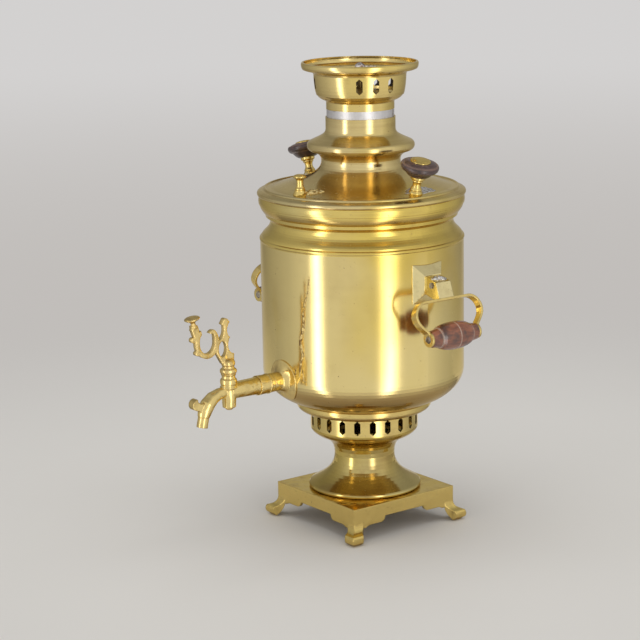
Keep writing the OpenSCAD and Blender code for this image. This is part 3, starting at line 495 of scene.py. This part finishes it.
def light_room():
    """Pale walls with two tall soft lights, a dim ceiling, and a plain backdrop for the camera."""
    world = bpy.data.worlds.new("room")
    bpy.context.scene.world = world
    world.use_nodes = True
    sheet = Sheet(world.node_tree)
    way = sheet.node("ShaderNodeTexCoord", output="Generated")
    x, y, rise = (sheet.part_of(way, letter) for letter in "XYZ")
    across = x * TO_RIGHT.x + y * TO_RIGHT.y
    ahead = x * TO_VIEWER.x + y * TO_VIEWER.y
    turn = sheet.maths("ARCTAN2", across, ahead) * (180 / math.pi)
    stops = [((degrees + 180) / 360, (level, level, level)) for degrees, level in WALLS]
    walls = sheet.node("ShaderNodeValToRGB", {"stops": stops}, {"Fac": turn / 360 + 0.5})
    lights = sum(turn.hump(middle, spread) * level for middle, spread, level in SOFT_LIGHTS)
    tall = 1.0 - rise.between(*(math.sin(math.radians(a)) for a in LIGHT_RISE))
    overhead = rise.between(*(math.sin(math.radians(a)) for a in CEILING_RISE))
    room = (walls * (1.0 - overhead) + overhead * CEILING) + lights * tall
    warm = sheet.node("ShaderNodeVectorMath", {"operation": "SCALE"}, {0: WARM_WHITE, "Scale": room})
    seen = sheet.node("ShaderNodeLightPath", output="Is Camera Ray")
    colour = sheet.blend(seen, warm, BACKDROP)
    background = sheet.node("ShaderNodeBackground", None, {"Color": colour, "Strength": 1.0})
    sheet.node("ShaderNodeOutputWorld", None, {"Surface": background})


def fill_lamp():
    """A wide overhead lamp that lights the floor and the wood evenly."""
    panel = bpy.data.lights.new("overhead_fill", "AREA")
    panel.shape = "SQUARE"
    panel.size = FILL_SIZE
    panel.energy = FILL_POWER
    panel.color = (1.0, 0.985, 0.96)
    lamp = bpy.data.objects.new("overhead_fill", panel)
    lamp.location = (0, 0, FILL_HEIGHT)
    lamp.visible_glossy = False
    lamp.visible_camera = False
    bpy.context.scene.collection.objects.link(lamp)


def lay_floor():
    """A pale, level floor that runs far out on every side."""
    mesh = bpy.data.meshes.new("floor")
    build = bmesh.new()
    corners = ((-1, -1), (1, -1), (1, 1), (-1, 1))
    build.faces.new([
        build.verts.new((TO_RIGHT * side + TO_VIEWER * reach) * FLOOR_HALF) for side, reach in corners
    ])
    build.to_mesh(mesh)
    build.free()
    floor = bpy.data.objects.new("floor", mesh)
    bpy.context.scene.collection.objects.link(floor)

    def surface(sheet):
        x, y = sheet.axis("X"), sheet.axis("Y")
        behind = (x * TO_VIEWER.x + y * TO_VIEWER.y) * -1.0
        from_axis = (x * x + y * y) ** 0.5
        aside = abs(x * TO_RIGHT.x + y * TO_RIGHT.y)
        to_camera = sheet.node("ShaderNodeLightPath", output="Is Camera Ray")
        to_metal = sheet.node("ShaderNodeLightPath", output="Is Glossy Ray")
        mottle = sheet.grain(3, 3, 0.5)
        paint = sheet.shader({
            "Base Color": sheet.blend(mottle, FLOOR_DARK, FLOOR_PALE),
            "Roughness": 0.7,
        })
        # painted shade: the backdrop is darker nearer the samovar, paling further out
        far_colour = sheet.blend(from_axis.between(*BACKDROP_PALES), BACKDROP_SHADED, BACKDROP)
        far_colour = sheet.blend(to_metal, far_colour, BACKDROP_IN_METAL)
        far = sheet.node("ShaderNodeEmission", None, {"Color": far_colour, "Strength": 1.0})
        clear = sheet.node("ShaderNodeBsdfTransparent")
        seen_far = from_axis.between(*PAINT_ENDS) * to_camera.larger(to_metal)
        base = sheet.node("ShaderNodeMixShader", None, {0: seen_far, 1: paint, 2: far})
        # past arm's reach of the samovar, metal sees the room through the floor
        beyond_front = from_axis.between(*MIRRORED_ENDS) * (behind < MIRRORED_FRONT)
        beyond = beyond_front.larger(aside.between(*MIRRORED_ASIDE_ENDS))
        return sheet.node("ShaderNodeMixShader", None, {0: to_metal * beyond, 1: base, 2: clear})

    floor.data.materials.append(finish_material("floor_paint", surface))


# ---- repairs in solder ----------------------------------------------------


def new_piece(name, build, material, body):
    """Turn a finished bmesh into a smooth piece that rides a body."""
    mesh = bpy.data.meshes.new(name)
    bmesh.ops.recalc_face_normals(build, faces=build.faces)
    build.to_mesh(mesh)
    build.free()
    for face in mesh.polygons:
        face.use_smooth = True
    piece = bpy.data.objects.new(name, mesh)
    bpy.context.scene.collection.objects.link(piece)
    mesh.materials.append(material)
    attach(piece, body)
    return piece


def puddle(name, middle, along, face, size, material, body, seed, ragged=0.35, rings=9, spokes=40):
    """A frozen lump of solder: size is its length, width and height, in metres."""
    face = face.normalized()
    along = (along - along.dot(face) * face).normalized()
    across = face.cross(along)
    length, width, high = size
    build = bmesh.new()

    def point(share, angle):
        way = Vector((math.cos(angle), math.sin(angle), seed))
        edge = 1 + ragged * noise.noise(way * 2.1) + 0.5 * ragged * noise.noise(way * 5.3)
        u, v = share * edge * way.x, share * edge * way.y
        lumps = 1 + 0.9 * noise.noise(Vector((u * 3.1, v * 3.1, seed + 5)))
        lift = high * (1 - share ** 2.4) * max(lumps, 0.15)
        return middle + along * (u * length / 2) + across * (v * width / 2) + face * lift

    crown = build.verts.new(point(0, 0))
    loops = [
        [build.verts.new(point((r + 1) / rings, 2 * math.pi * s / spokes)) for s in range(spokes)]
        for r in range(rings)
    ]
    foot = [build.verts.new(v.co - face * 0.5 * MM) for v in loops[-1]]
    loops.append(foot)
    for s in range(spokes):
        t = (s + 1) % spokes
        build.faces.new((crown, loops[0][s], loops[0][t]))
        for inner, outer in zip(loops, loops[1:]):
            build.faces.new((inner[s], outer[s], outer[t], inner[t]))
    build.faces.new(foot[::-1])
    return new_piece(name, build, material, body)


def bead(name, route, half_width, high, material, body, seed, steps=90, sides=7):
    """A rough bead laid up the tank's wall. The route is a list of (degrees, height)."""
    tank_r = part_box("tank")[1][1]
    build = bmesh.new()
    spans = len(route) - 1
    rows = []
    for i in range(steps + 1):
        share = i / steps * spans
        k = min(int(share), spans - 1)
        t = share - k
        degrees = route[k][0] * (1 - t) + route[k + 1][0] * t
        level = route[k][1] * (1 - t) + route[k + 1][1] * t
        taper = min(1, 6 * i / steps, 6 * (1 - i / steps)) ** 0.5 if 0 < i < steps else 0.15
        rough = 0.75 + 0.8 * noise.noise(Vector((level * 160, seed, 0)))
        wander = 0.8 * MM * noise.noise(Vector((level * 230, 0, seed)))
        row = []
        for s in range(sides + 1):
            a = math.pi * s / sides
            side = math.cos(a) * half_width * taper * (0.7 + 0.5 * rough) + wander
            out = tank_r - 0.25 * MM + math.sin(a) * high * taper * max(rough, 0.25)
            turn = math.radians(degrees) + side / tank_r
            row.append(build.verts.new((out * math.cos(turn), out * math.sin(turn), level)))
        rows.append(row)
    for low, top in zip(rows, rows[1:]):
        for s in range(sides):
            build.faces.new((low[s], low[s + 1], top[s + 1], top[s]))
        build.faces.new((low[sides], low[0], top[0], top[sides]))
    build.faces.new(rows[0][::-1])
    build.faces.new(rows[-1])
    return new_piece(name, build, material, body)


# The lid's sloping plate: its outer edge (out, up) and how far it falls for each step outwards
PLATE_EDGE = (92 * MM, 352.5 * MM)
PLATE_FALL = 0.303

# The mended split on the tank, from its top down to the rosette: degrees and height
SPLIT_TOP = ((-68.5, 0.281), (-68.8, 0.271), (-69.3, 0.260), (-71.4, 0.250), (-72.9, 0.242))
SPLIT_LOW = ((-72.9, 0.242), (-72.6, 0.225), (-75.3, 0.209), (-73.6, 0.195), (-75.2, 0.187), (-76.3, 0.172))
SPLIT_SPURS = (((-78.6, 0.183), (-79.4, 0.168)), ((-74.0, 0.182), (-73.2, 0.167)))


def add_repairs():
    bright = solder("bright_solder", (0.86, 0.85, 0.83), (0.50, 0.44, 0.36))
    golden = solder("golden_solder", (0.90, 0.74, 0.36), (0.42, 0.26, 0.08))
    scar = solder("split_scar", (0.80, 0.62, 0.26), (0.24, 0.14, 0.045), 0.34)

    def on_plate(degrees, r):
        """A spot on the lid's plate, its way outwards and the direction that it faces."""
        a = math.radians(degrees)
        way = Vector((math.cos(a), math.sin(a), 0))
        spot = way * r + UP * (PLATE_EDGE[1] + (PLATE_EDGE[0] - r) * PLATE_FALL)
        return spot, way, (UP + way * PLATE_FALL).normalized()

    spot, way, face = on_plate(-74.5, 80.5 * MM)
    puddle("vent_solder", spot, Vector((0.80, 0.62, 0)), face, (19 * MM, 8.5 * MM, 2.6 * MM),
           golden, "lid", 3.0, 0.5)
    spot, way, face = on_plate(6.5, 81.5 * MM)
    puddle("knob_solder", spot, UP.cross(way), face, (37 * MM, 15 * MM, 0.9 * MM),
           bright, "lid", 8.0, 0.35)
    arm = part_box("bracket_arm_right")
    spot = Vector(((arm[0][0] + arm[1][0]) / 2 - 2 * MM, 0.5 * MM, arm[1][2] - 1.6 * MM))
    puddle("bracket_solder", spot, Vector((0.45, 0.9, 0)), Vector((0.25, 0, 1)), (17 * MM, 9 * MM, 2.4 * MM),
           bright, "samovar", 5.0, 0.45)
    bead("split_upper", SPLIT_TOP, 1.0 * MM, 0.7 * MM, scar, "samovar", 1.0)
    bead("split_lower", SPLIT_LOW, 1.7 * MM, 1.3 * MM, scar, "samovar", 4.0)
    for i, spur in enumerate(SPLIT_SPURS, 1):
        bead("split_spur_%d" % i, spur, 0.9 * MM, 0.5 * MM, scar, "samovar", 6.0 + i)


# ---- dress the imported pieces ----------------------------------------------


def dress(material, *names):
    """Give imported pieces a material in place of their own."""
    for name in names:
        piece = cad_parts[name]
        piece.data.materials.clear()
        piece.data.materials.append(material)


def both(*names):
    """The left and right node of each name."""
    return [name + side for name in names for side in ("_left", "_right")]


def dress_body():
    tank_brass = spun_brass(
        "tank_brass", (0.88, 0.71, 0.31), rough=0.15, clouding=0.22, lathe=0.12, smear=0.5,
        shade_below=0.85, inside=TIN, toning=0.8,
    )
    dress(tank_brass, "tank")
    rim_brass = spun_brass(
        "rim_brass", (0.88, 0.68, 0.21), rough=0.17, clouding=0.42, lathe=0.6, smear=0.5,
        shade_below=0.7, inside=TIN,
    )
    dress(rim_brass, "rim_ring")


def dress_top():
    lid_brass = spun_brass(
        "lid_brass", (0.85, 0.69, 0.34), rough=0.18, clouding=0.50, lathe=0.7, smear=0.8,
        shade_below=0.7, inside=TIN,
    )
    dress(lid_brass, "lid")
    crown_brass = spun_brass(
        "crown_brass", (0.86, 0.68, 0.29), rough=0.19, clouding=0.42, lathe=0.5, smear=0.6,
        shade_below=0.6, inside=SOOT, inside_top=465.5 * MM,
    )
    dress(crown_brass, "crown")
    # painted shade: the cap's lower part, down inside the crown, gets a dark brown band at 453 mm
    cap_brass = spun_brass(
        "cap_brass", (0.66, 0.50, 0.24), rough=0.3, clouding=0.6, lathe=0.5, smear=0.6,
        shade_below=0.4, shaded_levels=((453 * MM, 7.5 * MM),),
    )
    dress(cap_brass, "chimney_cap")


def dress_foot():
    collar_brass = spun_brass(
        "collar_brass", (0.82, 0.63, 0.23), rough=0.17, clouding=0.4, lathe=0.4, smear=0.6,
        shade_below=0.8, inside=SOOT,
    )
    dress(collar_brass, "draught_collar", "ash_dish")
    # The pedestal's darker tint and heavy clouding are partly painted: a painted dark reflection and painted
    # shadow, besides its tarnish
    pedestal_brass = spun_brass(
        "pedestal_brass", (0.62, 0.46, 0.12), rough=0.13, clouding=0.9, lathe=0.3, smear=0.4,
        shade_below=0.6, inside=SOOT,
    )
    dress(pedestal_brass, "pedestal")
    # painted reflection and painted shade: the plinth's upright faces and undersides are darkened brown
    plinth_brass = cast_brass(
        "plinth_brass", (0.86, 0.66, 0.22), rough=0.2, pit=0.4, clouding=0.35, shade_below=0.6,
        sides=0.3, wavy=0.35, worn=1.2,
    )
    dress(plinth_brass, "plinth")


def dress_castings():
    bracket_brass = cast_brass(
        "bracket_brass", (0.90, 0.77, 0.40), rough=0.14, pit=0.3, clouding=0.2, shade_below=0.3, wavy=0.1
    )
    dress(bracket_brass, *both("bracket_plate", "bracket_arm"))
    strap_brass = cast_brass(
        "strap_brass", (0.86, 0.66, 0.25), rough=0.2, pit=0.3, clouding=0.45, shade_below=0.45, wavy=0.2
    )
    dress(strap_brass, *both("handle_strap"))
    fitting_brass = cast_brass(
        "fitting_brass", (0.88, 0.66, 0.22), rough=0.2, pit=0.3, clouding=0.35, shade_below=0.4
    )
    dress(fitting_brass, "vent_seat", "vent_cap", *both("knob_stem", "knob_button"))
    tap_brass = cast_brass(
        "tap_brass", (0.89, 0.69, 0.28), rough=0.2, pit=0.5, clouding=0.45, shade_below=0.5,
        wavy=0.6, worn=1.4,
    )
    dress(tap_brass, "tap_flange", "tap_sleeve", "tap_body")
    key_brass = cast_brass(
        "key_brass", (0.88, 0.66, 0.27), rough=0.2, pit=0.8, clouding=0.6, shade_below=0.7,
        wavy=1.0, worn=2.8,
    )
    dress(key_brass, "tap_key")


def dress_all():
    dress_body()
    dress_top()
    dress_foot()
    dress_castings()
    dress(tinned("tinned_sheet"), "fire_tube")
    dress(iron("grate_iron", (0.16, 0.14, 0.13)), "grate")
    dress(iron("rivet_steel", (0.42, 0.38, 0.32), 0.4), *both("bracket_rivet", "handle_rod"))
    dress(solder("ball_tin", (0.86, 0.82, 0.80), (0.30, 0.19, 0.15), 0.2), "cap_ball", "cap_wire")
    dress(knob_wood("knob_wood"), *both("knob_wood"))
    dress(grip_wood("grip_wood"), *both("handle_grip"))


bpy.context.scene.view_settings.view_transform = "Standard"
place_camera()
light_room()
fill_lamp()
lay_floor()
dress_all()
add_repairs()
